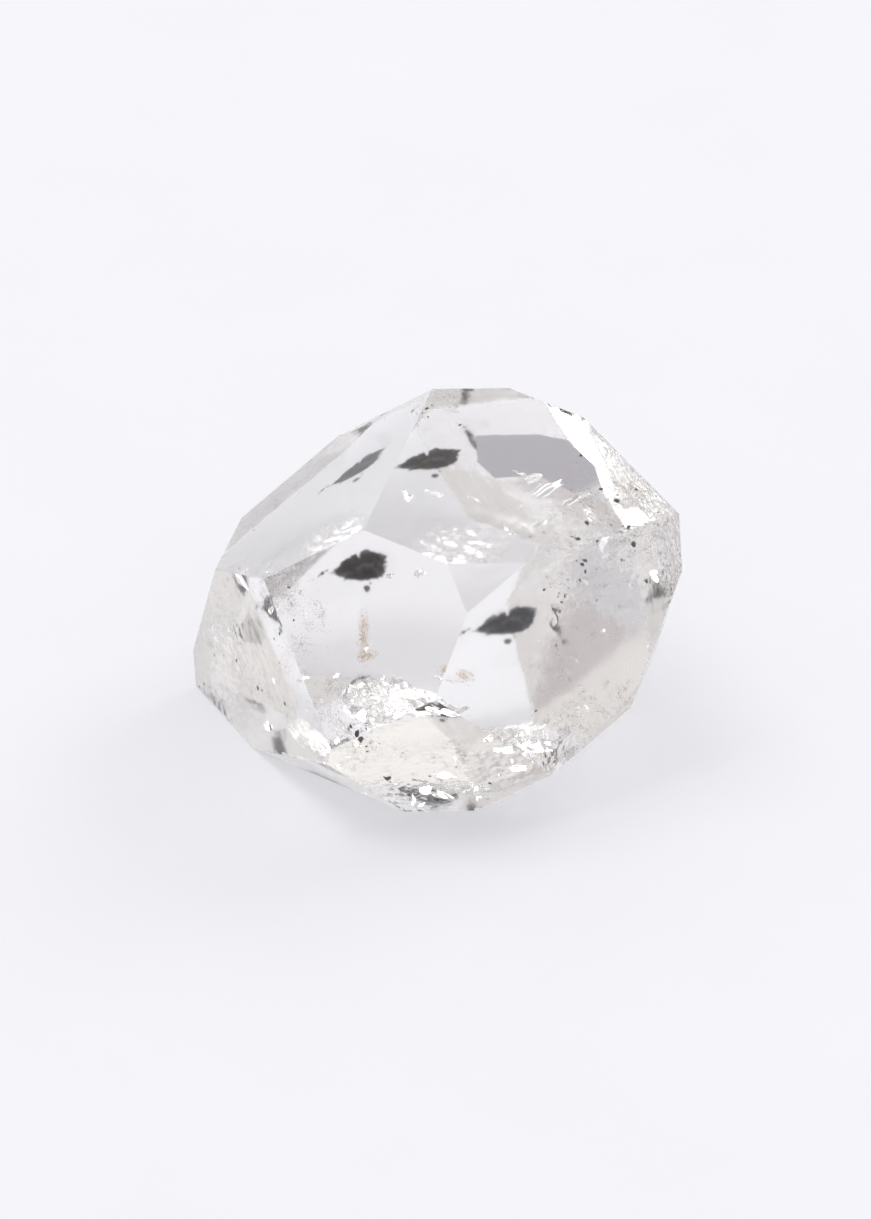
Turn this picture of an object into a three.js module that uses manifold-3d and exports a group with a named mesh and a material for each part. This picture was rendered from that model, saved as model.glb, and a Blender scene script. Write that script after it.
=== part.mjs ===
// Doubly terminated quartz crystal with a flake of carbon inside, in millimetres, +Z up.
// The crystal's long axis is called c here. Six prism faces stand round c, and six slanting
// faces close each end. The crystal lies on one slanting face of its lower end.
import * as THREE from 'three';
import { ConvexGeometry } from 'three/addons/geometries/ConvexGeometry.js';
import { mergeVertices } from 'three/addons/utils/BufferGeometryUtils.js';
import Module from 'manifold-3d';

// Angle between c and the normal of a slanting end face, fixed by the species.
const END_FACE_ANGLE = 51.79;

// Distance of each face from the middle of the crystal. Six faces go round c in steps of
// 60 degrees, and the first one of each ring lies on the side of the upper resting pair.
const PRISM_DISTANCES = [2.9, 3.61, 3.88, 3.57, 3.49, 3.97];
const UPPER_DISTANCES = [2.99, 4.46, 3.81, 4.51, 3.79, 4.54];
const LOWER_DISTANCES = [4.25, 3.69, 4.15, 3.25, 3.94, 3.89];
const REST_FACE_TURN = 180;

// Compass direction of c once the crystal lies on its resting face.
const C_AXIS_YAW = -13;

// Growth ledges: thin flat plates on the faces, with the outline of the face itself.
const LEDGE_HEIGHT = 0.035;
const LEDGE_ROOT = 0.06;
const LEDGE_SLOPE = 0.03;

// Growth grooves across the prism faces, square to c.
const GROOVE_WIDTH = 0.03;
const GROOVE_DEPTH = 0.022;

// Three-cornered pits on the end faces.
const PIT_DEPTH = 0.035;

// How far above a face the tools for grooves and pits reach, past the highest ledge.
const CLEARANCE = 0.09;

// The pocket round the carbon, a flat lens that the parting plane runs through. The carbon
// faces upward and forward, and its length runs to the right and back.
const POCKET_RADII = [0.95, 0.68, 0.22];
const CARBON_OFFSET = new THREE.Vector3(-0.17, 3.02, -1.07);
const CARBON_FACING = new THREE.Vector3(0.29, -0.63, 0.72).normalize();
const CARBON_LENGTH_WAY = new THREE.Vector3(0.88, 0.47, 0.06);
const FLAKE_THICKNESS = 0.05;

const wasm = await Module();
wasm.setup();

// A closed solid from a three.js geometry.
function solidFrom(geometry) {
  const plain = geometry.clone();
  for (const name of Object.keys(plain.attributes)) {
    if (name !== 'position') {
      plain.deleteAttribute(name);
    }
  }
  const merged = mergeVertices(plain, 1e-4);
  const mesh = new wasm.Mesh({
    numProp: 3,
    vertProperties: new Float32Array(merged.attributes.position.array),
    triVerts: new Uint32Array(merged.index.array),
  });
  return new wasm.Manifold(mesh);
}

// A three.js geometry from a closed solid.
function geometryFrom(solid) {
  const mesh = solid.getMesh();
  const indexed = new THREE.BufferGeometry();
  indexed.setAttribute('position', new THREE.BufferAttribute(mesh.vertProperties, 3));
  indexed.setIndex(new THREE.BufferAttribute(mesh.triVerts, 1));
  const geometry = indexed.toNonIndexed();
  geometry.computeVertexNormals();
  return geometry;
}

// Outward normal of a face, from its turn about c and its angle from c.
function faceNormal(turn, polar) {
  const t = THREE.MathUtils.degToRad(turn);
  const p = THREE.MathUtils.degToRad(polar);
  return new THREE.Vector3(
    Math.sin(p) * Math.cos(t),
    Math.sin(p) * Math.sin(t),
    Math.cos(p),
  );
}

// The eighteen faces in the crystal's own frame, with c along Z.
function crystalFaces() {
  const faces = [];
  for (let k = 0; k < 6; k += 1) {
    const turn = 60 * k;
    faces.push({ kind: 'prism', turn, normal: faceNormal(turn, 90), distance: PRISM_DISTANCES[k] });
    faces.push({
      kind: 'upper', turn, normal: faceNormal(turn, END_FACE_ANGLE), distance: UPPER_DISTANCES[k],
    });
    faces.push({
      kind: 'lower',
      turn,
      normal: faceNormal(turn, 180 - END_FACE_ANGLE),
      distance: LOWER_DISTANCES[k],
    });
  }
  return faces;
}

// Turns the faces so that the resting face points straight down and c has its yaw.
function layDown(faces) {
  const rest = faces.find((face) => face.kind === 'lower' && face.turn === REST_FACE_TURN);
  const down = new THREE.Quaternion();
  down.setFromUnitVectors(rest.normal, new THREE.Vector3(0, 0, -1));
  const axis = new THREE.Vector3(0, 0, 1).applyQuaternion(down);
  const yaw = THREE.MathUtils.degToRad(C_AXIS_YAW) - Math.atan2(axis.y, axis.x);
  const turn = new THREE.Quaternion().setFromAxisAngle(new THREE.Vector3(0, 0, 1), yaw);
  turn.multiply(down);
  for (const face of faces) {
    face.normal.applyQuaternion(turn);
  }
  rest.isRest = true;
  return new THREE.Vector3(0, 0, 1).applyQuaternion(turn);
}

// The point where three planes meet, or null where they run nearly parallel.
function meetingPoint(a, b, c) {
  const bc = new THREE.Vector3().crossVectors(b.normal, c.normal);
  const ca = new THREE.Vector3().crossVectors(c.normal, a.normal);
  const ab = new THREE.Vector3().crossVectors(a.normal, b.normal);
  const volume = a.normal.dot(bc);
  if (Math.abs(volume) < 1e-6) {
    return null;
  }
  const point = bc.multiplyScalar(a.distance);
  point.addScaledVector(ca, b.distance);
  point.addScaledVector(ab, c.distance);
  return point.divideScalar(volume);
}

// All the corners of the crystal: meeting points that lie outside no face.
function cornersOf(faces) {
  const corners = [];
  for (let i = 0; i < faces.length; i += 1) {
    for (let j = i + 1; j < faces.length; j += 1) {
      for (let k = j + 1; k < faces.length; k += 1) {
        const point = meetingPoint(faces[i], faces[j], faces[k]);
        const inside = point && faces.every((f) => f.normal.dot(point) < f.distance + 1e-6);
        const known = point && corners.some((c) => c.distanceTo(point) < 1e-4);
        if (inside && !known) {
          corners.push(point);
        }
      }
    }
  }
  return corners;
}

// Corners of one face in order, its middle, and two directions that lie in it.
function faceOutline(face, corners) {
  const own = corners.filter((c) => Math.abs(face.normal.dot(c) - face.distance) < 1e-4);
  const middle = new THREE.Vector3();
  for (const corner of own) {
    middle.addScaledVector(corner, 1 / own.length);
  }
  const along = own[0].clone().sub(middle).normalize();
  const across = new THREE.Vector3().crossVectors(face.normal, along);
  const bearing = (corner) => {
    const arm = corner.clone().sub(middle);
    return Math.atan2(arm.dot(across), arm.dot(along));
  };
  own.sort((p, q) => bearing(p) - bearing(q));
  return { own, middle, along, across };
}

// A thin plate on a face: the face's outline drawn in towards a point, with sloping sides.
function ledge(face, outline, size, shift, height) {
  const points = [];
  const towards = outline.own[shift % outline.own.length].clone().sub(outline.middle);
  const centre = outline.middle.clone().addScaledVector(towards, 0.45 * (1 - size));
  for (const corner of outline.own) {
    const arm = corner.clone().sub(outline.middle);
    const foot = centre.clone().addScaledVector(arm, size);
    const head = centre.clone().addScaledVector(arm, size - LEDGE_SLOPE);
    points.push(foot.addScaledVector(face.normal, -LEDGE_ROOT));
    points.push(head.addScaledVector(face.normal, height));
  }
  return solidFrom(new ConvexGeometry(points));
}

// A shallow V-shaped groove across a prism face, square to c.
function groove(face, outline, axis, place, reach) {
  const width = GROOVE_WIDTH * (CLEARANCE + GROOVE_DEPTH) / GROOVE_DEPTH;
  const side = new THREE.Vector3().crossVectors(face.normal, axis).normalize();
  const up = new THREE.Vector3().crossVectors(side, face.normal).normalize();
  const middle = outline.middle.clone().addScaledVector(up, place);
  const points = [];
  for (const end of [-1, 1]) {
    const tip = middle.clone().addScaledVector(side, end * reach);
    points.push(tip.clone().addScaledVector(up, width).addScaledVector(face.normal, CLEARANCE));
    points.push(tip.clone().addScaledVector(up, -width).addScaledVector(face.normal, CLEARANCE));
    points.push(tip.clone().addScaledVector(face.normal, -GROOVE_DEPTH));
  }
  return solidFrom(new ConvexGeometry(points));
}

// A three-cornered pit, with its corner turned towards the end of the crystal.
function pit(face, axis, place, size) {
  const spread = size * (CLEARANCE + PIT_DEPTH) / PIT_DEPTH;
  const up = axis.clone().addScaledVector(face.normal, -axis.dot(face.normal)).normalize();
  const side = new THREE.Vector3().crossVectors(up, face.normal);
  const points = [];
  for (const turn of [0, 120, 240]) {
    const a = THREE.MathUtils.degToRad(turn);
    const rim = place.clone();
    rim.addScaledVector(up, spread * Math.cos(a));
    rim.addScaledVector(side, spread * Math.sin(a));
    points.push(rim.addScaledVector(face.normal, CLEARANCE));
  }
  points.push(place.clone().addScaledVector(face.normal, -PIT_DEPTH));
  return solidFrom(new ConvexGeometry(points));
}

// Evenly strewn numbers from 0 to 1, the same on every run.
function strewn(index, stride) {
  return (0.37 + index * stride) % 1;
}

// Ledges, grooves and pits on every face but the resting one.
function addRelief(crystal, faces, corners, axis) {
  let body = crystal;
  faces.forEach((face, index) => {
    const outline = faceOutline(face, corners);
    if (face.isRest || outline.own.length < 3) {
      return;
    }
    const reach = Math.min(...outline.own.map((c) => c.distanceTo(outline.middle)));
    if (reach < 0.8) {
      return;
    }
    const first = 0.55 + 0.3 * strewn(index, 0.618);
    body = body.add(ledge(face, outline, first, index, LEDGE_HEIGHT));
    body = body.add(ledge(face, outline, first * 0.62, index + 1, LEDGE_HEIGHT * 1.9));
    if (face.kind === 'prism') {
      for (let k = 0; k < 5; k += 1) {
        const place = reach * (1.3 * strewn(k + index, 0.618) - 0.65);
        const length = reach * (0.12 + 0.4 * strewn(k + index, 0.414));
        body = body.subtract(groove(face, outline, axis, place, length));
      }
      return;
    }
    for (let k = 0; k < 7; k += 1) {
      const angle = 2 * Math.PI * strewn(k + index, 0.618);
      const radius = reach * (0.25 + 0.55 * strewn(k, 0.414));
      const place = outline.middle.clone();
      place.addScaledVector(outline.along, radius * Math.cos(angle));
      place.addScaledVector(outline.across, radius * Math.sin(angle));
      const end = face.kind === 'upper' ? axis : axis.clone().negate();
      body = body.subtract(pit(face, end, place, 0.04 + 0.06 * strewn(k, 0.732)));
    }
  });
  return body;
}

// A box that fills everything below or above a height.
function slab(from, to) {
  const box = new THREE.BoxGeometry(40, 40, to - from);
  box.translate(0, 0, (from + to) / 2);
  return solidFrom(box);
}

// The outline of the flake: a broad end on the right, two notches on top and a tail on the left.
function flakeShape() {
  const shape = new THREE.Shape();
  shape.moveTo(-0.79, 0.07);
  shape.lineTo(-0.6, -0.06);
  shape.lineTo(-0.38, -0.17);
  shape.lineTo(-0.13, -0.25);
  shape.lineTo(0.18, -0.3);
  shape.lineTo(0.46, -0.29);
  shape.lineTo(0.6, -0.11);
  shape.lineTo(0.71, 0.1);
  shape.lineTo(0.45, 0.19);
  shape.lineTo(0.24, 0.33);
  shape.lineTo(0.06, 0.13);
  shape.lineTo(0.02, 0.34);
  shape.lineTo(-0.15, 0.27);
  shape.lineTo(-0.47, 0.2);
  shape.closePath();
  return shape;
}

// The flake, extruded with worn edges.
function flakeGeometry() {
  const geometry = new THREE.ExtrudeGeometry(flakeShape(), {
    depth: FLAKE_THICKNESS,
    bevelEnabled: true,
    bevelThickness: 0.03,
    bevelSize: 0.03,
    bevelSegments: 3,
    bevelOffset: -0.03,
    steps: 2,
  });
  geometry.translate(0, 0, -FLAKE_THICKNESS / 2);
  const at = geometry.attributes.position;
  for (let i = 0; i < at.count; i += 1) {
    const x = at.getX(i);
    const y = at.getY(i);
    const lump = 0.01 * Math.sin(9 * x + 4 * y) + 0.008 * Math.sin(17 * y - 6 * x);
    at.setZ(i, at.getZ(i) + lump * Math.sign(at.getZ(i)) + 0.03 * Math.sin(3.1 * x));
  }
  return geometry;
}

// The small grain under the broad end of the flake.
function grainGeometry() {
  const geometry = new THREE.IcosahedronGeometry(0.07, 2);
  const at = geometry.attributes.position;
  const point = new THREE.Vector3();
  for (let i = 0; i < at.count; i += 1) {
    point.fromBufferAttribute(at, i);
    const bump = 1 + 0.12 * Math.sin(40 * point.x + 3) + 0.1 * Math.sin(37 * point.y + 50 * point.z);
    point.multiplyScalar(bump);
    at.setXYZ(i, point.x * 1.05, point.y * 0.85, point.z * 0.7);
  }
  geometry.translate(-0.1, -0.46, 0.06);
  return geometry;
}

// Sets a piece drawn in the XY plane at the flake's place in the crystal.
function placeInclusion(geometry) {
  const across = new THREE.Vector3().crossVectors(CARBON_FACING, CARBON_LENGTH_WAY).normalize();
  const along = new THREE.Vector3().crossVectors(across, CARBON_FACING);
  const turn = new THREE.Matrix4().makeBasis(along, across, CARBON_FACING);
  turn.setPosition(CARBON_OFFSET);
  geometry.applyMatrix4(turn);
  return geometry;
}

function namedMesh(name, geometry, colour, roughness, metalness) {
  geometry.computeVertexNormals();
  const material = new THREE.MeshStandardMaterial({ color: colour, roughness, metalness });
  const mesh = new THREE.Mesh(geometry, material);
  mesh.name = name;
  return mesh;
}

const faces = crystalFaces();
const cAxis = layDown(faces);
const corners = cornersOf(faces);
const box = new THREE.Box3().setFromPoints(corners);
const shift = new THREE.Vector3(
  -(box.min.x + box.max.x) / 2,
  -(box.min.y + box.max.y) / 2,
  -box.min.z,
);
const plainCrystal = solidFrom(new ConvexGeometry(corners));
const grownCrystal = addRelief(plainCrystal, faces, corners, cAxis);

// The pocket is turned like the flake and hollows out both halves at the parting plane.
const pocketShape = new THREE.SphereGeometry(1, 32, 20);
pocketShape.scale(...POCKET_RADII);
pocketShape.translate(0, -0.1, 0);
placeInclusion(pocketShape);
const hollowCrystal = grownCrystal.subtract(solidFrom(pocketShape));
const partingHeight = CARBON_OFFSET.z;

const lowerHalf = geometryFrom(hollowCrystal.intersect(slab(-20, partingHeight)));
const upperHalf = geometryFrom(hollowCrystal.intersect(slab(partingHeight, 20)));
const flake = placeInclusion(flakeGeometry());
const grain = placeInclusion(grainGeometry());

const crystal = new THREE.Group();
crystal.name = 'quartz_crystal';
const pieces = [
  namedMesh('crystal_lower', lowerHalf, 0xeef0ee, 0.05, 0),
  namedMesh('crystal_upper', upperHalf, 0xf1f2f0, 0.05, 0),
  namedMesh('carbon_flake', flake, 0x16130f, 0.55, 0),
  namedMesh('carbon_grain', grain, 0x1b1712, 0.6, 0),
];
for (const piece of pieces) {
  piece.geometry.translate(shift.x, shift.y, shift.z);
  crystal.add(piece);
}

export default crystal;
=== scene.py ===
"""A clear quartz crystal with points at both ends, and the dark and bright matter sealed in it.

The clear body is worked out from the distances of its eighteen faces, in metres, and laid on
one of them. What is sealed inside is placed by a line of sight: a place in the picture, the face
that the eye looks through, and how deep the piece lies behind that face.
"""
import itertools

import bmesh
import bpy
import numpy as np
from mathutils import Matrix


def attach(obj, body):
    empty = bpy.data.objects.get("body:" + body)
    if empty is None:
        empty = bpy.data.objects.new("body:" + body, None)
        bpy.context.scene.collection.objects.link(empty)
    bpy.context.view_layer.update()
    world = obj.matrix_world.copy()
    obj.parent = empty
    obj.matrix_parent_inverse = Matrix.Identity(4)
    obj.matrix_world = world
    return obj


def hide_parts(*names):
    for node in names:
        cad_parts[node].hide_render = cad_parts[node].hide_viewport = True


bl_info = {
    "name": "Herkimer Quartz Crystal",
    "version": (1, 0, 0),
    "blender": (4, 5, 0),
    "location": "View3D > Sidebar > Crystal",
    "description": "Builds a clear double-ended quartz crystal with its inclusions",
    "category": "Add Mesh",
}

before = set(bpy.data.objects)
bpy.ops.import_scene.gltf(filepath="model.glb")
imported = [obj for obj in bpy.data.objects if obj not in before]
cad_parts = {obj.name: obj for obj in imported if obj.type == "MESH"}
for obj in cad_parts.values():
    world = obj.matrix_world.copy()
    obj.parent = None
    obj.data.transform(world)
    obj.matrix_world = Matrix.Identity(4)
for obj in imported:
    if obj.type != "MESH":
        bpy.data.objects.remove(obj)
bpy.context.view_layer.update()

MM = 0.001
END_FACE_ANGLE = np.radians(51.79)
QUARTZ_IOR = 1.544
PRISM, UPPER, LOWER = 0, 6, 12
REST_FACE = LOWER + 3
FACE_NAMES = {
    "left_front": PRISM + 1,
    "left_back": PRISM + 0,
    "bottom_front": PRISM + 2,
    "top": UPPER + 0,
    "middle": UPPER + 1,
    "right_front": UPPER + 2,
    "right_side": UPPER + 3,
    "left_side": LOWER + 1,
    "low_front": LOWER + 2,
    "right_back": UPPER + 4,
    "rest": REST_FACE,
}

# Outline of the black flake in its own plane, in millimetres from its middle.
FLAKE_OUTLINE = [
    (-0.79, 0.07), (-0.6, -0.06), (-0.38, -0.17), (-0.13, -0.25), (0.18, -0.3), (0.46, -0.29),
    (0.6, -0.11), (0.71, 0.1), (0.45, 0.19), (0.22, 0.33), (0.08, 0.3), (0.0, 0.13),
    (-0.05, 0.3), (-0.18, 0.28), (-0.47, 0.2),
]
# Where the flake lies from the middle of the crystal, in millimetres, the way its length runs,
# and the way it faces.
FLAKE_PLACE = np.array([-0.17, 3.02, -1.07])
FLAKE_LENGTH_WAY = np.array([0.88, 0.47, 0.06])
FLAKE_FACING = np.array([0.29, -0.63, 0.72])
FLAKE_THICKNESS = 0.09 * MM

# Bits of carbon beside the flake: place in the flake's plane and in front of it, half
# length and half width, in millimetres, and their direction in the plane, in degrees.
SPLINTERS = [
    (-1.02, 0.13, 0.00, 0.06, 0.036, 10),
    (-0.90, 0.15, 0.02, 0.035, 0.02, 15),
    (-1.13, 0.10, 0.01, 0.025, 0.02, 60),
    (0.05, -0.38, 0.02, 0.03, 0.018, 70),
]

# Single dark grains by the face they are seen through: place in the picture from the
# crystal's middle and half size, in millimetres. Each has some finer ones beside it.
DARK_GRAINS = [
    ("top", [
        (-0.12, 3.78, 0.05), (-0.1, 3.6, 0.04), (2.96, 2.82, 0.05), (3.64, 1.9, 0.07),
    ]),
    ("right_front", [
        (3.24, 1.12, 0.06), (3.96, 1.04, 0.07), (4.22, 0.32, 0.06), (3.0, 0.72, 0.06),
        (3.02, 0.5, 0.05), (2.6, 0.02, 0.05),
    ]),
    ("left_side", [(-4.7, -1.1, 0.09), (-3.5, -1.82, 0.07)]),
    ("left_front", [
        (-3.06, -2.12, 0.05), (-3.04, -0.72, 0.05), (-1.5, -2.7, 0.09), (-1.62, -2.56, 0.05),
    ]),
    ("bottom_front", [(-2.06, -3.58, 0.06), (-0.9, -3.6, 0.07), (0.08, -4.04, 0.06)]),
    ("left_side", [(-3.26, -2.6, 0.08), (-3.94, -1.26, 0.05)]),
    ("left_front", [
        (-2.86, 0.19, 0.035), (-3.21, -0.06, 0.04), (-3.06, -0.76, 0.03), (-3.01, -1.26, 0.035),
        (-2.76, -0.46, 0.03),
    ]),
    ("left_side", [
        (-3.76, 0.04, 0.03), (-3.41, -1.86, 0.04), (-4.4, -1.16, 0.04), (-3.96, -0.46, 0.03),
    ]),
    ("right_front", [
        (2.94, 0.64, 0.04), (2.89, 0.34, 0.04), (2.19, 0.14, 0.035), (3.24, -0.06, 0.03),
        (3.74, 0.74, 0.03), (4.3, 1.1, 0.03), (2.54, -0.1, 0.035), (2.44, -0.96, 0.03),
        (2.04, -2.26, 0.035),
    ]),
    ("bottom_front", [
        (-0.06, -3.56, 0.03), (-0.46, -3.95, 0.04), (-0.2, -3.98, 0.035), (-1.31, -2.96, 0.03),
        (0.64, -3.16, 0.03), (1.14, -3.7, 0.035),
    ]),
    ("top", [
        (0.54, 3.44, 0.035), (0.74, 3.24, 0.03), (3.34, 2.14, 0.04), (4.04, 2.14, 0.035),
    ]),
    ("left_back", [
        (-1.56, 3.44, 0.035), (-3.46, 1.8, 0.035), (-3.16, 1.85, 0.04), (-3.6, 1.34, 0.03),
    ]),
]

# Clouds of fine matter: place in the picture, half width and half height in millimetres,
# turn in degrees, the face they are seen through, their least and greatest depth in
# millimetres, and how full each is.
VEILS = [
    (-4.0, -0.9, 0.75, 1.5, 15, "left_side", 0.1, 1.6, 360),
    (-2.8, -0.3, 0.7, 1.3, 15, "left_front", 0.3, 2.2, 300),
    (-3.2, 0.0, 0.6, 0.5, 30, "left_front", 0.1, 0.8, 260),
    (-2.2, -2.3, 1.5, 0.75, -18, "left_front", 0.2, 1.4, 420),
    (0.2, -3.5, 2.2, 0.7, 3, "bottom_front", 0.2, 1.8, 520),
    (3.0, -2.6, 1.3, 0.6, 40, "right_front", 0.2, 1.8, 400),
    (2.5, -1.7, 0.5, 0.9, 0, "right_front", 0.2, 1.6, 180),
    (-0.9, -3.1, 1.2, 0.45, -10, "left_front", 0.2, 1.2, 260),
    (3.6, 0.5, 1.1, 1.4, -10, "right_front", 0.2, 2.2, 480),
    (2.6, 0.9, 0.5, 1.2, 0, "right_front", 0.3, 1.8, 160),
    (3.6, 1.9, 1.0, 0.6, -35, "top", 0.2, 1.6, 300),
    (0.1, 3.9, 0.6, 0.35, 0, "top", 0.1, 0.9, 110),
    (-2.5, 2.6, 1.9, 0.3, 38, "left_back", 0.1, 1.2, 240),
]

# Thin open cracks that shine, by the face they are seen through: place in the picture, radius
# and depth, in millimetres.
CRACKS = [
    ("top", [
        (1.75, 2.45, 0.3, 0.4), (2.0, 2.35, 0.44, 0.4), (2.3, 2.15, 0.56, 0.5),
        (2.0, 2.1, 0.42, 0.5), (2.7, 1.9, 0.54, 0.5), (3.1, 1.65, 0.42, 0.5),
        (1.7, 1.75, 0.3, 0.5), (2.1, 1.45, 0.36, 0.6), (1.5, 1.3, 0.26, 0.6),
        (0.0, 2.05, 0.34, 0.6), (-0.5, 2.0, 0.3, 0.5), (0.8, 1.95, 0.24, 0.6),
        (-0.1, 0.85, 0.2, 0.9), (-0.8, 0.75, 0.18, 0.8), (3.7, 2.7, 0.34, 0.4),
        (4.1, 2.2, 0.3, 0.4),
    ]),
    ("right_front", [(2.5, 0.3, 0.28, 0.5), (3.4, 1.2, 0.26, 0.5), (4.4, 0.4, 0.2, 0.3)]),
    ("left_front", [
        (-1.31, -1.02, 0.13, 0.5), (-1.4, -2.35, 0.28, 0.5), (-0.8, -2.33, 0.28, 0.5),
    ]),
    ("bottom_front", [
        (-0.3, -2.3, 0.34, 0.4), (0.0, -2.25, 0.5, 0.3), (0.3, -2.28, 0.5, 0.25),
        (0.5, -2.3, 0.34, 0.2),
    ]),
    ("left_front", [
        (-1.9, -1.55, 0.16, 0.5), (-1.4, -1.75, 0.15, 0.5), (-1.0, -1.6, 0.14, 0.6),
        (-0.6, -1.75, 0.16, 0.5), (0.2, -1.6, 0.22, 0.6), (-1.2, -1.95, 0.2, 0.6),
        (-0.1, -1.95, 0.2, 0.7),
    ]),
    ("left_side", [(-3.3, -2.6, 0.3, 0.4), (-3.8, 0.3, 0.36, 0.4)]),
    ("left_front", [(-3.2, -0.25, 0.34, 0.3)]),
    ("low_front", [(-3.1, -2.9, 0.4, 0.3)]),
    ("left_front", [(-2.2, -3.1, 0.28, 0.4), (-1.5, -3.0, 0.3, 0.4)]),
    ("bottom_front", [
        (-0.15, -3.85, 0.4, 0.3), (0.2, -3.95, 0.36, 0.3), (0.2, -3.55, 0.36, 0.4),
        (1.1, -2.8, 0.3, 0.5), (1.4, -3.05, 0.34, 0.5), (1.7, -3.4, 0.3, 0.5),
        (0.9, -3.9, 0.36, 0.4), (-0.4, -4.05, 0.3, 0.3),
    ]),
    ("right_front", [(2.1, -3.0, 0.4, 0.4), (3.0, -2.9, 0.34, 0.4)]),
]

# How far the walls of a crack stand apart.
CRACK_GAP = 0.004 * MM

# Pale grains, hollow bubbles and small cracks for each unit of a cloud's fullness, and how
# many of the best ways to face each small crack draws from.
VEIL_SHARE = 6.5
BUBBLE_SHARE = 0.12
GLINT_SHARE = 0.022
GLINT_CHOICE = 150

# Least and greatest half sizes of the fine pieces, and depths behind the face they are seen
# through, in millimetres.
VEIL_SIZES = (0.005, 0.014)
BUBBLE_SIZES = (0.006, 0.02)
STAIN_SIZES = (0.006, 0.014)
GLINT_SIZES = (0.06, 0.17)
GLINT_DEPTHS = (0.2, 0.9)
STAIN_DEPTHS = (0.3, 0.8)
DARK_DEPTHS = (0.3, 1.2)

# How far inside every face the middles of fine grains, dark grains and cracks stay, and the
# rims of the cracks.
GRAIN_MARGIN = 0.04 * MM
DARK_MARGIN = 0.05 * MM
CRACK_MARGIN = 0.1 * MM
RIM_MARGIN = 0.01 * MM

# Flat open cracks seen as clean panes: face, depth below it in millimetres at the middle of
# the outline, the way the crack faces, and its outline in the picture from the crystal's
# middle, which runs counter-clockwise.
PANES = [
    (
        "top", 2.2, (-0.427, 0.18, 0.886),
        [(0.89, 2.69), (1.24, 2.36), (1.64, 2.39), (2.14, 2.39), (2.74, 2.09), (3.44, 1.84),
         (3.24, 2.59), (2.69, 3.14), (2.09, 3.26), (0.86, 3.22)],
    ),
]

# Rusty stains in fine cracks: place in the picture, half width and half height in
# millimetres, the face they are seen through, and how many flecks each has.
STAINS = [
    (-1.36, -0.75, 0.12, 0.5, "left_front", 748),
    (-1.3, -1.15, 0.2, 0.1, "left_front", 308),
    (0.62, -1.56, 0.2, 0.14, "right_front", 352),
    (-2.95, -1.4, 0.2, 0.3, "left_front", 308),
    (2.2, -3.3, 0.4, 0.25, "bottom_front", 396),
    (3.9, 2.1, 0.35, 0.25, "top", 352),
]

# Patches where a face is rough with fine growth pits, by face: place in the picture, radius
# in millimetres, and strength on the scale of the faces' own roughness below.
ROUGH_PATCHES = [
    ("left_side", [(-4.3, -0.3, 1.5, 1.0), (-4.3, -2.0, 1.0, 0.8)]),
    ("left_front", [(-3.3, -0.1, 0.8, 0.35), (-2.9, -1.7, 1.1, 0.45), (-1.0, -2.3, 1.0, 0.5)]),
    ("bottom_front", [(-0.7, -3.5, 2.0, 0.9), (1.4, -3.3, 1.1, 1.0)]),
    ("right_front", [
        (3.7, 0.7, 1.3, 1.0), (2.9, 0.7, 0.8, 0.7), (2.5, -0.2, 0.6, 0.5), (2.5, -2.9, 1.1, 0.9),
        (3.4, -2.1, 0.6, 0.4),
    ]),
    ("top", [(0.1, 4.2, 0.5, 0.6), (4.2, 2.5, 0.9, 0.9), (2.6, 1.5, 0.8, 0.5)]),
    ("right_back", [(4.1, 2.1, 2.2, 5.0)]),
    ("rest", [(0.4, -1.9, 1.0, 8.0)]),
    ("left_back", [(-3.5, 3.0, 0.8, 0.5), (-1.8, 3.9, 0.6, 0.5)]),
]

# How rough each face is all over, from 0 to 1: prism, upper end and lower end faces.
PITTED = [
    *(0.0, 0.0, 0.0, 0.3, 0.1, 0.3),
    *(0.0, 0.0, 0.0, 0.8, 0.35, 0.8),
    *(0.5, 0.0, 0.5, 0.0, 0.25, 0.8),
]

# Soft cards round the crystal that are dimmer or brighter than the white surroundings:
# direction, the cosines of their soft rim, and their colour.
CARDS = [
    ((-0.85, -0.5, 0.12), 0.89, 0.98, (0.66, 0.63, 0.66)),
    ((0.85, -0.3, 0.3), 0.86, 0.98, (0.78, 0.76, 0.78)),
    ((-0.79, 0.57, 0.2), 0.88, 0.96, (0.53, 0.53, 0.6)),
    ((0.0, 0.97, 0.25), 0.9, 0.98, (1.22, 1.22, 1.22)),
]

# Colours of the surroundings at the height of the floor and overhead.
LOW_LIGHT = (1.2, 1.155, 1.12)
HIGH_LIGHT = (1.0, 0.98, 0.968)

# How strongly the backlit floor glows by itself, half its width in metres, and how far it
# lies below the crystal.
FLOOR_GLOW = 0.6
FLOOR_REACH = 1.5
FLOOR_DROP = 0.02 * MM

# Where the camera aims, right of and above the crystal's middle, and the width of its sensor
# in millimetres.
AIM_RIGHT = 0.05 * MM
AIM_UP = -0.25 * MM
SENSOR_WIDTH = 24.0

# How many times light may pass or bounce off a surface.
LIGHT_BOUNCES = 18

# Softboxes: name, direction from the crystal, distance and size in metres, and brightness.
SOFTBOXES = [
    ("top_softbox", (-0.33, -0.08, 0.94), 0.4, 0.16, 4.6),
    ("key_softbox", (0.6, 0.48, 0.64), 0.4, 0.2, 2.6),
]


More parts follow.
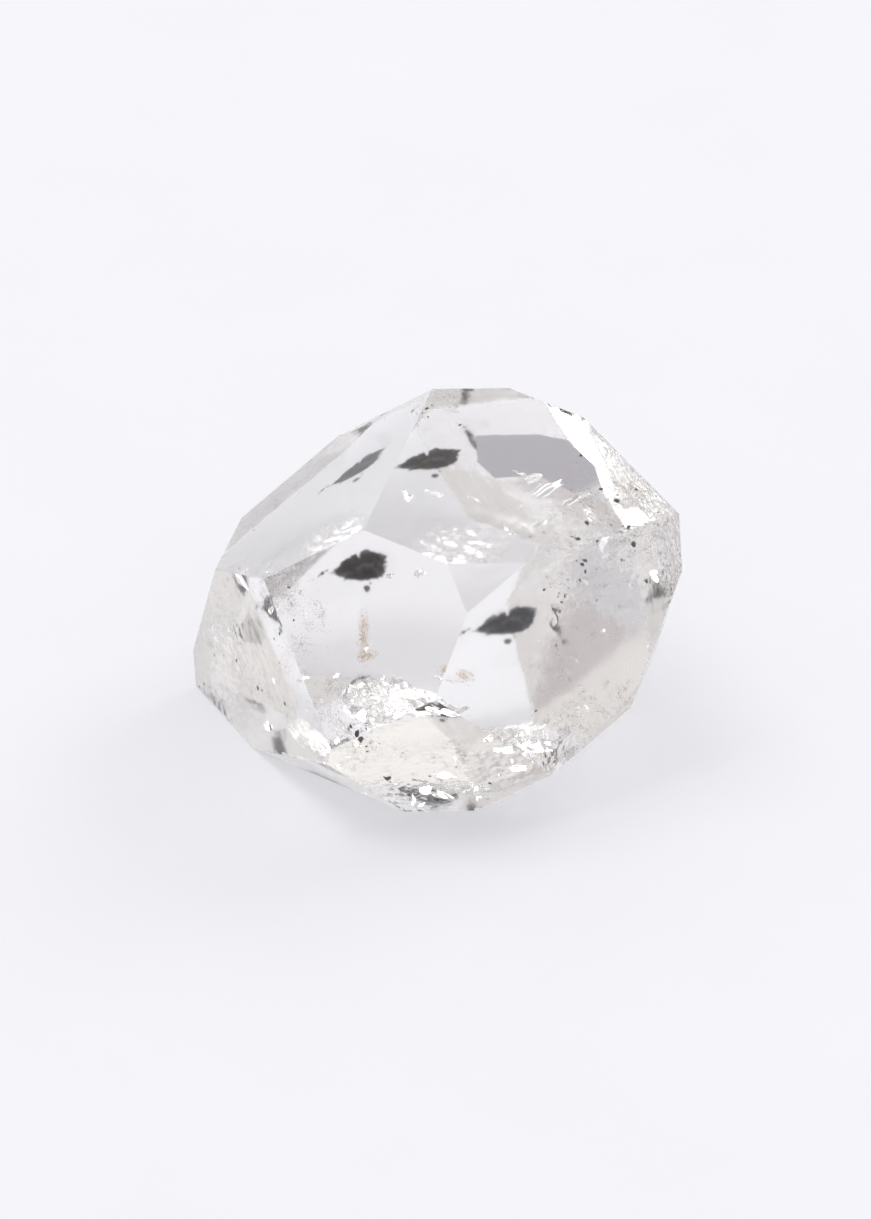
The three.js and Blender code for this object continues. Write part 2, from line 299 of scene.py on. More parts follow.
class CrystalSettings(bpy.types.PropertyGroup):
    """Driving sizes of the clear body."""

    prism_distances: bpy.props.FloatVectorProperty(
        name="Prism faces",
        description="Distance of each prism face from the middle of the crystal",
        size=6,
        default=(0.0029, 0.00361, 0.00388, 0.00357, 0.00349, 0.00397),
        unit="LENGTH",
    )
    upper_distances: bpy.props.FloatVectorProperty(
        name="Upper end faces",
        description="Distance of each face of the raised end",
        size=6,
        default=(0.00299, 0.00446, 0.00381, 0.00451, 0.00379, 0.00454),
        unit="LENGTH",
    )
    lower_distances: bpy.props.FloatVectorProperty(
        name="Lower end faces",
        description="Distance of each face of the resting end",
        size=6,
        default=(0.00425, 0.00369, 0.00415, 0.00325, 0.00394, 0.00389),
        unit="LENGTH",
    )
    axis_yaw: bpy.props.FloatProperty(
        name="Axis direction",
        description="Compass direction of the long axis, seen from above",
        default=np.radians(-13),
        subtype="ANGLE",
    )
    grid_step: bpy.props.FloatProperty(
        name="Grid step",
        description="Distance between grid points along an edge",
        default=0.0001,
        unit="LENGTH",
    )
    ledge_height: bpy.props.FloatProperty(
        name="Ledge height",
        description="Height of one growth step",
        default=0.000002,
        unit="LENGTH",
    )


class StageSettings(bpy.types.PropertyGroup):
    """Camera, floor and light."""

    camera_elevation: bpy.props.FloatProperty(
        name="Camera elevation",
        description="Angle of the line of sight above the floor",
        default=np.radians(33.7),
        subtype="ANGLE",
    )
    camera_roll: bpy.props.FloatProperty(
        name="Camera roll",
        description="Turn of the camera about its line of sight",
        default=np.radians(2.7),
        subtype="ANGLE",
    )
    picture_width: bpy.props.FloatProperty(
        name="Picture width",
        description="Width of the scene that the picture shows at the crystal",
        default=0.01742,
        unit="LENGTH",
    )
    lens: bpy.props.FloatProperty(
        name="Lens", description="Focal length in millimetres", default=300.0
    )
    floor_colour: bpy.props.FloatVectorProperty(
        name="Floor", description="Colour of the floor", subtype="COLOR", default=(0.566, 0.571, 0.6)
    )
    sky_strength: bpy.props.FloatProperty(
        name="Surrounding light", description="Strength of the light all round", default=0.7
    )


def unit(v):
    """The vector or vectors v at length one."""
    return v / np.linalg.norm(v, axis=-1, keepdims=True)


def turn_about(axis, angle):
    """Rotation matrix: a turn by angle about a unit axis, by the right-hand rule."""
    x, y, z = axis
    cross = np.array([[0, -z, y], [z, 0, -x], [-y, x, 0]])
    return np.eye(3) + np.sin(angle) * cross + (1 - np.cos(angle)) * cross @ cross


def crystal_planes():
    """Normals, distances and middle of the crystal, and its long axis, in the row frame.

    A prism face k has the normal (cos 60k, sin 60k, 0), an end face (sin p cos 60k, sin p sin 60k,
    +-cos p) with p the species' angle. The whole is turned so that the resting face points down.
    """
    s = bpy.context.scene.crystal
    turns = np.radians(60 * np.arange(6))
    ring = np.stack([np.cos(turns), np.sin(turns), np.zeros(6)], 1)
    end = np.array([0, 0, np.cos(END_FACE_ANGLE)])
    slanting = np.sin(END_FACE_ANGLE) * ring
    normals = np.vstack([ring, slanting + end, slanting - end])
    distances = np.concatenate([s.prism_distances, s.upper_distances, s.lower_distances])
    down = np.array([0, 0, -1.0])
    rest = normals[REST_FACE]
    hinge = unit(np.cross(rest, down))
    lay = turn_about(hinge, np.arccos(rest @ down))
    axis = lay @ np.array([0, 0, 1.0])
    lay = turn_about(-down, s.axis_yaw - np.arctan2(axis[1], axis[0])) @ lay
    normals = normals @ lay.T
    corners = crystal_corners(normals, distances)
    low, high = corners.min(0), corners.max(0)
    middle = np.array([-(low[0] + high[0]) / 2, -(low[1] + high[1]) / 2, -low[2]])
    return normals, distances, middle, lay @ np.array([0, 0, 1.0])


def crystal_corners(normals, distances):
    """Every point where three faces meet and that lies outside none of them."""
    trios = np.array(list(itertools.combinations(range(len(normals)), 3)))
    systems = normals[trios]
    firm = np.abs(np.linalg.det(systems)) > 1e-6
    points = np.linalg.solve(systems[firm], distances[trios[firm]][:, :, None])[:, :, 0]
    inside = (points @ normals.T < distances + 1e-9).all(1)
    return np.unique(np.round(points[inside], 9), axis=0)


def face_corners(corners, normal, distance):
    """The corners of one face, counter-clockwise as seen from outside."""
    own = corners[np.abs(corners @ normal - distance) < 1e-8]
    if len(own) < 3:
        return own
    arm = own - own.mean(0)
    across = np.cross(normal, arm[0])
    return own[np.argsort(np.arctan2(arm @ across, arm @ arm[0] * np.linalg.norm(normal)))]


def smooth(low, high, x):
    """Rises from 0 at low to 1 at high, with no kink at either."""
    t = np.clip((x - low) / (high - low), 0, 1)
    return t * t * (3 - 2 * t)


def waves(u, v, seed, scale, count=6):
    """Gentle unevenness from -1 to 1: the mean of sine waves of like length in many directions."""
    rng = np.random.default_rng(seed)
    turn = rng.uniform(0, 2 * np.pi, count)
    phase = rng.uniform(0, 2 * np.pi, count)
    pitch = 2 * np.pi / (scale * rng.uniform(0.7, 1.5, count))
    across = u[..., None] * np.cos(turn) + v[..., None] * np.sin(turn)
    return np.sin(across * pitch + phase).mean(-1)


def growth_relief(u, v, s, seed, height):
    """Height of the growth steps over a flat face.

    The face climbs from its rim to a low summit in a few level terraces. With q = 1 - s, the way
    in from the rim, made uneven by waves, the height is the whole part of q times the number of
    steps, joined by short smooth risers.
    """
    rng = np.random.default_rng(seed)
    steps = rng.integers(3, 6)
    q = (1 - s) + 0.10 * waves(u, v, seed + 50, 2.5 * MM) * smooth(0, 0.3, 1 - s)
    level = np.clip(q, 0, 1) * steps
    whole = np.floor(level)
    riser = smooth(0.0, 0.22, level - whole)
    swell = 0.35 * waves(u, v, seed + 90, 1.6 * MM)
    return height * (whole + riser - 1 + swell) * smooth(0.0, 0.12, 1 - s)


def edge_points(a, b, step):
    """Points from corner a up to but not with corner b, evenly spaced, the same from either end."""
    count = max(2, int(round(np.linalg.norm(b - a) / step)))
    k = np.arange(count)[:, None] / count
    return a + (b - a) * k


def face_mesh(corners, normal, seed, step, height):
    """One crystal face as a polar grid.

    Point(s, t) = middle + s (rim(t) - middle) + relief(s, t) normal, with s from 0 in the middle
    of the face to 1 at its rim, and t along the rim. The relief dies out at the rim.
    """
    ends = np.roll(corners, -1, 0)
    rim = np.vstack([edge_points(a, b, step) for a, b in zip(corners, ends)])
    middle = corners.mean(0)
    reach = np.linalg.norm(rim - middle, axis=1).max()
    rings = max(3, int(reach / step / 1.2))
    s = np.arange(1, rings + 1) / rings
    grid = middle + s[:, None, None] * (rim - middle)
    u_axis = unit(corners[0] - middle)
    v_axis = np.cross(normal, u_axis)
    u = (grid - middle) @ u_axis
    v = (grid - middle) @ v_axis
    relief = growth_relief(u, v, np.broadcast_to(s[:, None], u.shape), seed, height)
    grid = grid + relief[..., None] * normal
    n = len(rim)
    points = np.vstack([middle + relief[0].mean() * normal, grid.reshape(-1, 3)])
    ring, spoke = np.meshgrid(np.arange(rings - 1), np.arange(n), indexing="ij")
    a = 1 + ring * n + spoke
    b = 1 + ring * n + (spoke + 1) % n
    quads = np.stack([a, a + n, b + n, b], -1).reshape(-1, 4)
    fan = np.stack([np.zeros(n, int), 1 + np.arange(n), 1 + (np.arange(n) + 1) % n], 1)
    return points, quads, fan


def mesh_object(name, points, quads, triangles, material):
    """A mesh object from whole arrays of points, four-cornered and three-cornered faces."""
    mesh = bpy.data.meshes.new(name)
    mesh.vertices.add(len(points))
    mesh.vertices.foreach_set("co", np.ascontiguousarray(points, np.float32).ravel())
    loops = np.concatenate([np.ravel(quads), np.ravel(triangles)]).astype(np.int32)
    sizes = np.concatenate([np.full(len(quads), 4), np.full(len(triangles), 3)]).astype(np.int32)
    starts = np.concatenate([[0], np.cumsum(sizes)[:-1]]).astype(np.int32)
    mesh.loops.add(len(loops))
    mesh.loops.foreach_set("vertex_index", loops)
    mesh.polygons.add(len(sizes))
    mesh.polygons.foreach_set("loop_start", starts)
    mesh.polygons.foreach_set("use_smooth", np.full(len(sizes), True))
    mesh.update(calc_edges=True)
    mesh.validate()
    mesh.materials.append(material)
    thing = bpy.data.objects.new(name, mesh)
    bpy.context.collection.objects.link(thing)
    return thing


def rows_by_face(table):
    """The rows of a table that is kept by face, each with its face in front."""
    return [(face, *row) for face, rows in table for row in rows]


def joined(parts):
    """Several shapes' points, four-cornered and three-cornered faces as one shape's."""
    starts = np.cumsum([0] + [len(points) for points, _, _ in parts])
    points, quads, triangles = zip(*parts)
    quads = [own + start for own, start in zip(quads, starts)]
    triangles = [own + start for own, start in zip(triangles, starts)]
    return np.vstack(points), np.vstack(quads), np.vstack(triangles)


def roughness_of(points, index):
    """How rough a face is at some of its points: its own level, and more near its rough patches.

    The level is at least a patch's strength times a smooth hump, which is 1 up to half the
    patch's radius and 0 past the whole.
    """
    level = np.full(len(points), PITTED[index])
    for face, x, y, radius, strength in rows_by_face(ROUGH_PATCHES):
        if FACE_NAMES[face] == index:
            centre = sight(np.array([[x, y]]) * MM, face, 0.0)[0]
            gap = np.linalg.norm(points - centre, axis=1)
            level = np.maximum(level, strength * smooth(1.0, 0.5, gap / (radius * MM)))
    return level


def clear_body():
    """Points and faces of the whole crystal, its eighteen face grids side by side.

    The walls of the cracks and bubbles inside face the hollow they close. With the points come
    their place along the long axis, whether they are on a prism face, and how pitted they are.
    """
    s = bpy.context.scene.crystal
    normals, distances, middle, axis = crystal_planes()
    corners = crystal_corners(normals, distances)
    parts, traits = [], []
    for index, (normal, distance) in enumerate(zip(normals, distances)):
        own = face_corners(corners, normal, distance)
        if len(own) < 3:
            continue
        height = 0.0 if index == REST_FACE else s.ledge_height
        p, q, f = face_mesh(own, normal, index, s.grid_step, height)
        parts.append((p + middle, q, f))
        prism = np.full(len(p), float(index < UPPER))
        traits.append(np.stack([p @ axis, prism, roughness_of(p + middle, index)], 1))
    for p, q, f in (cracks(), panes(), bubbles()):
        parts.append((p, q[:, ::-1], f[:, ::-1]))
        traits.append(np.zeros((len(p), 3)))
    return *joined(parts), np.vstack(traits)


def rework(thing, change):
    """Passes the mesh of a thing through one change."""
    work = bmesh.new()
    work.from_mesh(thing.data)
    change(work)
    work.to_mesh(thing.data)
    work.free()


def close_seams(thing, reach, sharp_angle):
    """Joins the grids along their shared rims, and keeps the edges between the faces crisp."""
    rework(thing, lambda work: bmesh.ops.remove_doubles(work, verts=work.verts, dist=reach))
    thing.data.set_sharp_from_angle(angle=sharp_angle)


def outward(thing):
    """Makes every face of a closed mesh point outwards."""
    rework(thing, lambda work: bmesh.ops.recalc_face_normals(work, faces=work.faces))


def picture_frame():
    """Middle of the crystal, and the picture's right, up and towards-the-eye directions."""
    lift = bpy.context.scene.stage.camera_elevation
    towards = np.array([0, -np.cos(lift), np.sin(lift)])
    right = turn_about(towards, bpy.context.scene.stage.camera_roll) @ np.array([1.0, 0, 0])
    return crystal_planes()[2], right, np.cross(towards, right), towards


def sight(places, face, depth):
    """Where the eye's lines of sight end that enter the crystal at some places of the picture.

    A line meets the face's plane n.p = d, is bent there by sin(a) = 1.544 sin(b), and runs on by
    depth. Places are in metres right of and above the middle of the crystal.
    """
    normals, distances, _, _ = crystal_planes()
    middle, right, up, towards = picture_frame()
    places = np.atleast_2d(places)
    n, d = normals[FACE_NAMES[face]], distances[FACE_NAMES[face]]
    flat = places[:, :1] * right + places[:, 1:2] * up
    entry = flat + ((d - flat @ n) / (towards @ n))[:, None] * towards
    slope = towards @ n
    ratio = 1 / QUARTZ_IOR
    bent = -ratio * towards + (ratio * slope - np.sqrt(1 - ratio**2 * (1 - slope**2))) * n
    return middle + entry + np.reshape(depth, (-1, 1)) * bent


def ball_points(rows, columns):
    """Unit ball as a grid of rows between two poles, and its faces.

    Point(a, b) = (sin a cos b, sin a sin b, cos a).
    """
    a = np.pi * np.arange(1, rows) / rows
    b = 2 * np.pi * np.arange(columns) / columns
    a, b = np.meshgrid(a, b, indexing="ij")
    ring = np.stack([np.sin(a) * np.cos(b), np.sin(a) * np.sin(b), np.cos(a)], -1).reshape(-1, 3)
    points = np.vstack([[0, 0, 1], ring, [0, 0, -1]])
    i, j = np.meshgrid(np.arange(rows - 2), np.arange(columns), indexing="ij")
    p = 1 + i * columns + j
    q = 1 + i * columns + (j + 1) % columns
    quads = np.stack([p, p + columns, q + columns, q], -1).reshape(-1, 4)
    k = np.arange(columns)
    last = len(points) - 1
    top = np.stack([np.zeros(columns, int), 1 + k, 1 + (k + 1) % columns], 1)
    foot = last - columns
    bottom = np.stack([np.full(columns, last), foot + (k + 1) % columns, foot + k], 1)
    return points, quads, np.vstack([top, bottom])


def random_turns(rng, count):
    """Rotation matrices spread evenly over all directions, from random unit quaternions."""
    w, x, y, z = unit(rng.normal(size=(count, 4))).T
    return np.stack(
        [
            np.stack([1 - 2 * (y * y + z * z), 2 * (x * y - z * w), 2 * (x * z + y * w)], -1),
            np.stack([2 * (x * y + z * w), 1 - 2 * (x * x + z * z), 2 * (y * z - x * w)], -1),
            np.stack([2 * (x * z - y * w), 2 * (y * z + x * w), 1 - 2 * (x * x + y * y)], -1),
        ],
        1,
    )


def grains(centres, sizes, flatness, seed, rows=4, columns=6, turns=None, widths=None):
    """Many small rough grains as one mesh: a coarse ball each, unevenly stretched and turned.

    Grain point = centre + turn (size * (1, wide, flat) * ball point * (1 + unevenness)).
    """
    rng = np.random.default_rng(seed)
    ball, quads, triangles = ball_points(rows, columns)
    count = len(centres)
    turns = random_turns(rng, count) if turns is None else turns
    uneven = 1 + rng.uniform(-0.28, 0.28, (count, len(ball), 1))
    widths = rng.uniform(0.6, 1.0, count) if widths is None else widths
    stretch = np.stack([np.ones(count), widths, flatness], 1)
    shape = ball[None] * uneven * (sizes[:, None] * stretch)[:, None, :]
    points = centres[:, None, :] + np.einsum("nij,nkj->nki", turns, shape)
    step = (np.arange(count) * len(ball))[:, None, None]
    quads, triangles = quads[None] + step, triangles[None] + step
    return points.reshape(-1, 3), quads.reshape(-1, 4), triangles.reshape(-1, 3)


def flake(outline, thickness, seed, rings=14, steps=6, ragged=0.05):
    """A ragged plate: two sheets on a polar grid over its outline, joined at the rim.

    Sheet point(s, t) = (s r(t) cos t, s r(t) sin t, +-h(s, t)), where h falls from the plate's
    half thickness to nothing at the rim, roughened by waves. r(t) runs straight from point to
    point, then wanders by the ragged share.
    """
    outline = np.asarray(outline, float)
    k = np.arange(steps)[None, :, None] / steps
    rim = (outline[:, None] + (np.roll(outline, -1, 0) - outline)[:, None] * k).reshape(-1, 2)
    rng = np.random.default_rng(seed)
    rim = rim * (1 + ragged * rng.normal(size=(len(rim), 1)))
    n = len(rim)
    s = np.arange(1, rings + 1)[:, None] / rings
    x, y = s * rim[:, 0], s * rim[:, 1]
    rough = 1 + 0.5 * waves(x, y, seed, 0.16 * MM, 9) + 0.35 * waves(x, y, seed + 1, 0.06 * MM, 9)
    height = 0.5 * thickness * np.sqrt(np.clip(1 - s**6, 0, 1)) * rough
    sag = 0.25 * thickness * waves(x, y, seed + 2, 0.8 * MM)
    top = np.stack([x, y, sag + height], -1)
    low = np.stack([x, y, sag - height], -1)[:-1]
    middles = np.array([[0, 0, thickness / 2], [0, 0, -thickness / 2]])
    points = np.vstack([top.reshape(-1, 3), low.reshape(-1, 3), middles])
    i, j = np.meshgrid(np.arange(rings - 1), np.arange(n), indexing="ij")
    a, b = i * n + j, i * n + (j + 1) % n
    under = rings * n
    foot = np.where(i + 1 == rings - 1, 0, under)
    quads_top = np.stack([a, a + n, b + n, b], -1).reshape(-1, 4)
    quads_low = np.stack([a + under, b + under, b + n + foot, a + n + foot], -1).reshape(-1, 4)
    k, m = np.arange(n), (np.arange(n) + 1) % n
    top_middle, low_middle = len(points) - 2, len(points) - 1
    fan_top = np.stack([np.full(n, top_middle), k, m], 1)
    fan_low = np.stack([np.full(n, low_middle), under + m, under + k], 1)
    return points, np.vstack([quads_top, quads_low]), np.vstack([fan_top, fan_low])


def sealed(places, margin):
    """Which of the places lie inside the crystal, at least the margin away from every face."""
    normals, distances, middle, _ = crystal_planes()
    return ((places - middle) @ normals.T < distances - margin).all(1)


def in_oval(x, y, turn, a, b):
    """Places in the picture at a and b along the two axes of an oval, turned by degrees."""
    tilt = np.radians(turn)
    return x + a * np.cos(tilt) - b * np.sin(tilt), y + a * np.sin(tilt) + b * np.cos(tilt)


def veil_places(rng, share):
    """Middles of the grains of every cloud, a share of them for each unit of its fullness.

    A cloud is an oval in the picture, filled with clumps at all its depths. Grain = clump + a
    normal spread of a few hundredths to a tenth of a millimetre, which each clump has its own.
    """
    centres = []
    for x, y, wide, high, turn, face, near, far, count in VEILS:
        clumps = count // 5
        radius = np.sqrt(rng.uniform(0, 1, clumps)) ** 1.2
        angle = rng.uniform(0, 2 * np.pi, clumps)
        a, b = wide * radius * np.cos(angle), high * radius * np.sin(angle)
        places = np.stack(in_oval(x, y, turn, a, b), 1) * MM
        clump = sight(places, face, rng.uniform(near, far, clumps) * MM)
        own = rng.integers(0, clumps, int(count * share))
        spread = rng.uniform(0.03, 0.13, clumps)[own, None] * MM
        centres.append(clump[own] + rng.normal(size=(len(own), 3)) * spread)
    centres = np.vstack(centres)
    return centres[sealed(centres, GRAIN_MARGIN)]


def bubbles():
    """The gas bubbles: small flattened hollows in the clouds."""
    rng = np.random.default_rng(17)
    centres = veil_places(rng, BUBBLE_SHARE)
    count = len(centres)
    sizes = rng.uniform(*BUBBLE_SIZES, count) * MM
    return grains(centres, sizes, rng.uniform(0.25, 0.7, count), 18)


def leaving(places, ways, bounces=4):
    """The directions in which rays from inside the crystal leave it, or zeros where they don't.

    A ray runs to the nearest plane ahead, t = (d - p.n) / w.n. There it leaves by sin(a) = 1.544
    sin(b), or is thrown back whole, w - 2 (w.n) n.
    """
    normals, distances, middle, _ = crystal_planes()
    places = places - middle
    out = np.zeros_like(ways)
    inside = np.ones(len(ways), bool)
    for _ in range(bounces):
        slope = ways @ normals.T
        reach = (distances - places @ normals.T) / np.where(slope > 1e-9, slope, 1)
        reach = np.where((slope > 1e-9) & (reach > 1e-9), reach, np.inf)
        face = reach.argmin(1)
        places = places + np.take_along_axis(reach, face[:, None], 1) * ways
        n = normals[face]
        along = (ways * n).sum(1, keepdims=True)
        under = 1 - QUARTZ_IOR**2 * (1 - along**2)
        bent = QUARTZ_IOR * ways + (np.sqrt(np.clip(under, 0, None)) - QUARTZ_IOR * along) * n
        free = inside & (under[:, 0] > 0)
        out[free] = unit(bent[free])
        inside &= ~free
        ways = ways - 2 * along * n
    return out


def shining(place, way, rng, choice):
    """The way a crack has to face to throw the light of a softbox back along the eye's ray.

    Of many random ways at which the crack mirrors wholly, they are ranked by how close to a
    softbox the mirrored ray w - 2 (w.n) n leaves the crystal, and one of the best few is drawn.
    """
    facing = unit(rng.normal(size=(4000, 3)))
    facing = facing * -np.sign(facing @ way)[:, None]
    slope = -facing @ way
    facing = facing[(slope > 0.3) & (slope < 0.74)]
    mirrored = way - 2 * (facing @ way)[:, None] * facing
    lamps = unit(np.array([towards for _, towards, _, _, _ in SOFTBOXES]))
    out = leaving(np.broadcast_to(place, mirrored.shape), mirrored)
    best = np.argsort(-(out @ lamps.T).max(1))
    return facing[best[rng.integers(0, choice)]]


def glint_places(rng):
    """Faces, places, sizes and depths of the small cracks scattered through the clouds."""
    found = []
    for x, y, wide, high, turn, face, _, _, count in VEILS:
        number = int(count * GLINT_SHARE)
        a, b = rng.uniform(-1, 1, (2, number)) * [[wide], [high]]
        across, above = in_oval(x, y, turn, a, b)
        sizes = rng.uniform(*GLINT_SIZES, number)
        depths = rng.uniform(*GLINT_DEPTHS, number)
        found += [(face, *one) for one in zip(across, above, sizes, depths)]
    return found


def cracks():
    """The shining cracks: thin wavy hollows, each a flake shape with a ragged round outline.

    Crack point = centre + turn (x, y, z + sway), the sway a slow wave across the flake. One that
    would cut through a face is drawn smaller.
    """
    rng = np.random.default_rng(31)
    parts = []
    chosen = rows_by_face(CRACKS)
    for number, (face, x, y, radius, depth) in enumerate(chosen + glint_places(rng)):
        large = number < len(chosen)
        turn = 2 * np.pi * np.arange(11) / 11
        reach = radius * MM * rng.uniform(0.45, 1.0, 11)
        outline = np.stack([reach * np.cos(turn), reach * np.sin(turn) * rng.uniform(0.4, 0.8)], 1)
        p, q, f = flake(outline, CRACK_GAP, 40 + number, 9 if large else 4, 3 if large else 2)
        p[:, 2] += 0.03 * radius * MM * waves(p[:, 0], p[:, 1], 60 + number, 0.9 * radius * MM, 4)
        start, centre = sight(np.array([[x, y]] * 2) * MM, face, np.array([0, depth]) * MM)
        if not sealed(centre[None], CRACK_MARGIN)[0]:
            continue
        facing = shining(centre, unit(centre - start), rng, 1 if large else GLINT_CHOICE)
        along = unit(np.cross(facing, rng.normal(size=3)))
        axes = np.stack([along, np.cross(facing, along), facing])
        while not sealed(p @ axes + centre, RIM_MARGIN).all():
            p = 0.8 * p
        parts.append((p @ axes + centre, q, f))
    return joined(parts)


def panes():
    """The flat cracks: each the part of a plane that its outline in the picture cuts out.

    A line of sight p + t b meets the plane at t = (m - p).n / b.n, m the middle of the crack.
    """
    parts = []
    for number, (face, depth, facing, outline) in enumerate(PANES):
        facing = unit(np.array(facing))
        places = np.array(outline) * MM
        start = sight(places, face, 0.0)
        way = sight(places, face, 1.0) - start
        middle = sight(places.mean(0), face, depth * MM)[0]
        reach = ((middle - start) @ facing) / (way @ facing)
        rim = start + reach[:, None] * way - middle
        along = unit(np.cross(facing, [0, 0, 1.0]))
        axes = np.stack([along, np.cross(facing, along), facing])
        p, q, f = flake((rim @ axes.T)[:, :2], CRACK_GAP, 80 + number, 12, 6, 0.006)
        parts.append((p @ axes + middle, q, f))
    return joined(parts)


def new_material(name):
    """A material with an empty node tree, its output and a principled shader."""
    material = bpy.data.materials.new(name)
    material.use_nodes = True
    nodes = material.node_tree.nodes
    nodes.clear()
    out = nodes.new("ShaderNodeOutputMaterial")
    shader = nodes.new("ShaderNodeBsdfPrincipled")
    material.node_tree.links.new(shader.outputs["BSDF"], out.inputs["Surface"])
    return material, nodes, material.node_tree.links, shader


def mottling(nodes, links, shader, scale, detail, shades):
    """Lets a material's colour wander between two shades by a noise over the object's own place.

    A shade is the noise value from which it holds, and its colour.
    """
    place = nodes.new("ShaderNodeTexCoord")
    noise = nodes.new("ShaderNodeTexNoise")
    noise.inputs["Scale"].default_value = scale
    noise.inputs["Detail"].default_value = detail
    ramp = nodes.new("ShaderNodeValToRGB")
    for element, (position, colour) in zip(ramp.color_ramp.elements, shades):
        element.position = position
        element.color = (*colour, 1)
    links.new(place.outputs["Object"], noise.inputs["Vector"])
    links.new(noise.outputs["Fac"], ramp.inputs["Fac"])
    links.new(ramp.outputs["Color"], shader.inputs["Base Color"])
    return noise, ramp


def quartz_material():
    """Clear quartz, faintly warm: growth lines on the prism faces, fine pits on the rough ones."""
    material, nodes, links, shader = new_material("clear_quartz")
    shader.inputs["Base Color"].default_value = (1.0, 0.988, 0.976, 1)
    shader.inputs["Roughness"].default_value = 0.09
    shader.inputs["IOR"].default_value = QUARTZ_IOR
    shader.inputs["Transmission Weight"].default_value = 1.0

    def attribute(name):
        node = nodes.new("ShaderNodeAttribute")
        node.attribute_name = name
        return node.outputs["Fac"]

    def calculate(operation, a, b):
        node = nodes.new("ShaderNodeMath")
        node.operation = operation
        for socket, value in zip(node.inputs, (a, b)):
            if isinstance(value, bpy.types.NodeSocket):
                links.new(value, socket)
            else:
                socket.default_value = value
        return node.outputs["Value"]

    place = nodes.new("ShaderNodeTexCoord").outputs["Object"]

    def noise(scale, detail, vector=place):
        node = nodes.new("ShaderNodeTexNoise")
        node.inputs["Scale"].default_value = scale
        node.inputs["Detail"].default_value = detail
        links.new(vector, node.inputs["Vector"])
        return node.outputs["Fac"]

    lines = nodes.new("ShaderNodeTexNoise")
    lines.noise_dimensions = "1D"
    lines.inputs["Scale"].default_value = 9000
    lines.inputs["Detail"].default_value = 1
    links.new(attribute("along_axis"), lines.inputs["W"])
    striped = calculate("MULTIPLY", lines.outputs["Fac"], attribute("prism"))
    striped = calculate("MULTIPLY", striped, calculate("ADD", attribute("pitted"), 0.12))
    pits = nodes.new("ShaderNodeTexVoronoi")
    pits.inputs["Scale"].default_value = 6500
    links.new(place, pits.inputs["Vector"])
    pitted = calculate("ADD", calculate("MULTIPLY", pits.outputs["Distance"], 0.5), noise(8000, 0))
    pitted = calculate("ADD", pitted, calculate("MULTIPLY", noise(4200, 1), 4.5))
    pitted = calculate("MULTIPLY", pitted, attribute("pitted"))
    height = calculate("ADD", calculate("MULTIPLY", striped, 0.7), calculate("MULTIPLY", pitted, 1.3))
    height = calculate("ADD", height, calculate("MULTIPLY", noise(1500, 2), 0.4))
    bump = nodes.new("ShaderNodeBump")
    bump.inputs["Strength"].default_value = 1.0
    bump.inputs["Distance"].default_value = 0.000003
    links.new(height, bump.inputs["Height"])
    links.new(bump.outputs["Normal"], shader.inputs["Normal"])
    return material


def carbon_material():
    """Dull black carbon, mottled dark brown, with blue-grey patches of painted sheen spread over it,
    and a rough skin.
    """
    material, nodes, links, shader = new_material("carbon")
    # Near black and dark brown are the carbon's own colour; the blue-grey shade is a painted sheen,
    # scattered at random by the noise.
    shades = [(0.36, (0.012, 0.008, 0.007)), (0.66, (0.12, 0.135, 0.165))]
    grain, ramp = mottling(nodes, links, shader, 6000, 5, shades)
    middle = ramp.color_ramp.elements.new(0.5)
    middle.color = (0.028, 0.021, 0.019, 1)
    bump = nodes.new("ShaderNodeBump")
    bump.inputs["Distance"].default_value = 0.00001
    links.new(grain.outputs["Fac"], bump.inputs["Height"])
    links.new(bump.outputs["Normal"], shader.inputs["Normal"])
    shader.inputs["Roughness"].default_value = 0.38
    return material


def speckled_material(name, low_colour, high_colour, scale):
    """A dull material whose colour wanders between two from grain to grain."""
    material, nodes, links, shader = new_material(name)
    mottling(nodes, links, shader, scale, 2, [(0.38, low_colour), (0.56, high_colour)])
    shader.inputs["Roughness"].default_value = 0.4
    return material


def veil_material():
    """Pale, slightly brownish fine matter."""
    return speckled_material("bubble_veils", (0.46, 0.38, 0.32), (1.0, 0.985, 0.97), 2500)


def stain_material():
    """Rust, from orange to pale yellow."""
    return speckled_material("rusty_stains", (1.0, 0.5, 0.2), (1.0, 0.84, 0.5), 4000)


class CRYSTAL_OT_clear_body(bpy.types.Operator):
    """Builds the clear quartz body in place of its two halves"""

    bl_idname = "crystal.clear_body"
    bl_label = "Clear quartz body"

    def execute(self, context):
        points, quads, fans, traits = clear_body()
        body = mesh_object("clear_quartz", points, quads, fans, quartz_material())
        for column, name in enumerate(("along_axis", "prism", "pitted")):
            layer = body.data.attributes.new(name, "FLOAT", "POINT")
            layer.data.foreach_set("value", np.ascontiguousarray(traits[:, column], np.float32))
        close_seams(body, 2e-7, np.radians(20))
        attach(body, "root")
        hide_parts("crystal_lower", "crystal_upper")
        return {"FINISHED"}


def flake_axes():
    """Middle of the black flake in the row frame, and its length, width and facing directions."""
    facing = unit(FLAKE_FACING)
    along = unit(FLAKE_LENGTH_WAY - (FLAKE_LENGTH_WAY @ facing) * facing)
    return crystal_planes()[2] + FLAKE_PLACE * MM, np.stack([along, np.cross(facing, along), facing])


